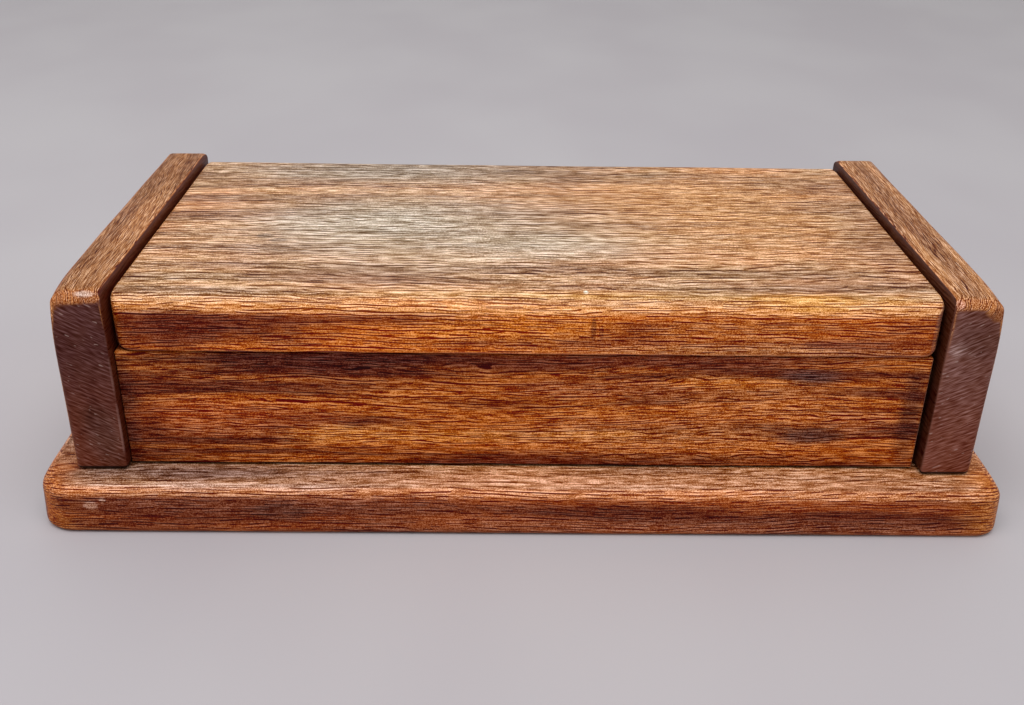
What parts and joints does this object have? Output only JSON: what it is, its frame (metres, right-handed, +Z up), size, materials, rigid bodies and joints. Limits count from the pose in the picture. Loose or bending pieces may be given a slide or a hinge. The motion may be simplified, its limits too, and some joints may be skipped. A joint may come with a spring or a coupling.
{
  "type": "wooden puzzle box",
  "caption": "Oak puzzle box: a thick lid on hidden pivot pins between thick end boards, a front panel that slides a little sideways and loose lock pins, on a wide base board.",
  "frame": {"origin": "under the middle of the base board, on the surface that it stands on", "axes": "+X from left to right as seen from the front, +Y from front to back, +Z up"},
  "size_m": [0.358, 0.184, 0.0919],
  "materials": {
    "base_oak": "aged varnish, satin",
    "left_end_oak": "aged varnish, dark end grain",
    "right_end_oak": "aged varnish, dark end grain",
    "back_oak": "aged varnish, satin",
    "lid_oak": "aged varnish, worn and hazy on top",
    "front_oak": "aged varnish, satin",
    "dowel_wood": "bare",
    "pin_steel": "turned",
    "screw_steel": "dull",
    "hook_brass": "aged",
    "screw_brass": "aged"
  },
  "bodies": {
    "carcass": {"base_board": "base_oak", "left_end_board": "left_end_oak", "right_end_board": "right_end_oak", "back_panel": "back_oak", "left_pivot_pin": "pin_steel", "right_pivot_pin": "pin_steel", "back_panel_left_dowels": "dowel_wood", "back_panel_right_dowels": "dowel_wood", "left_end_screws": "screw_steel", "right_end_screws": "screw_steel", "back_panel_screws": "screw_steel"},
    "lid": {"lid_board": "lid_oak", "left_lid_hook": "hook_brass", "right_lid_hook": "hook_brass", "left_hook_screws": "screw_brass", "right_hook_screws": "screw_brass"},
    "sliding_front": {"front_panel": "front_oak", "front_panel_left_dowels": "dowel_wood", "front_panel_right_dowels": "dowel_wood", "left_strike_pin": "pin_steel", "right_strike_pin": "pin_steel"},
    "left_lock": {"left_lock_pin": "pin_steel"},
    "right_lock": {"right_lock_pin": "pin_steel"}
  },
  "joints": [
    {"name": "lid_hinge", "type": "hinge", "parent": "carcass", "child": "lid", "pos_m": [0, 0.0673, 0.0779], "axis": [-1, 0, 0], "range_deg": [0, 100]},
    {"name": "front_panel_slide", "type": "slide", "parent": "carcass", "child": "sliding_front", "axis": [1, 0, 0], "range_m": [0, 0.0015]},
    {"name": "left_lock_slide", "type": "slide", "parent": "carcass", "child": "left_lock", "axis": [1, 0, 0], "range_m": [0, 0.007]},
    {"name": "right_lock_slide", "type": "slide", "parent": "carcass", "child": "right_lock", "axis": [-1, 0, 0], "range_m": [0, 0.007]}
  ]
}
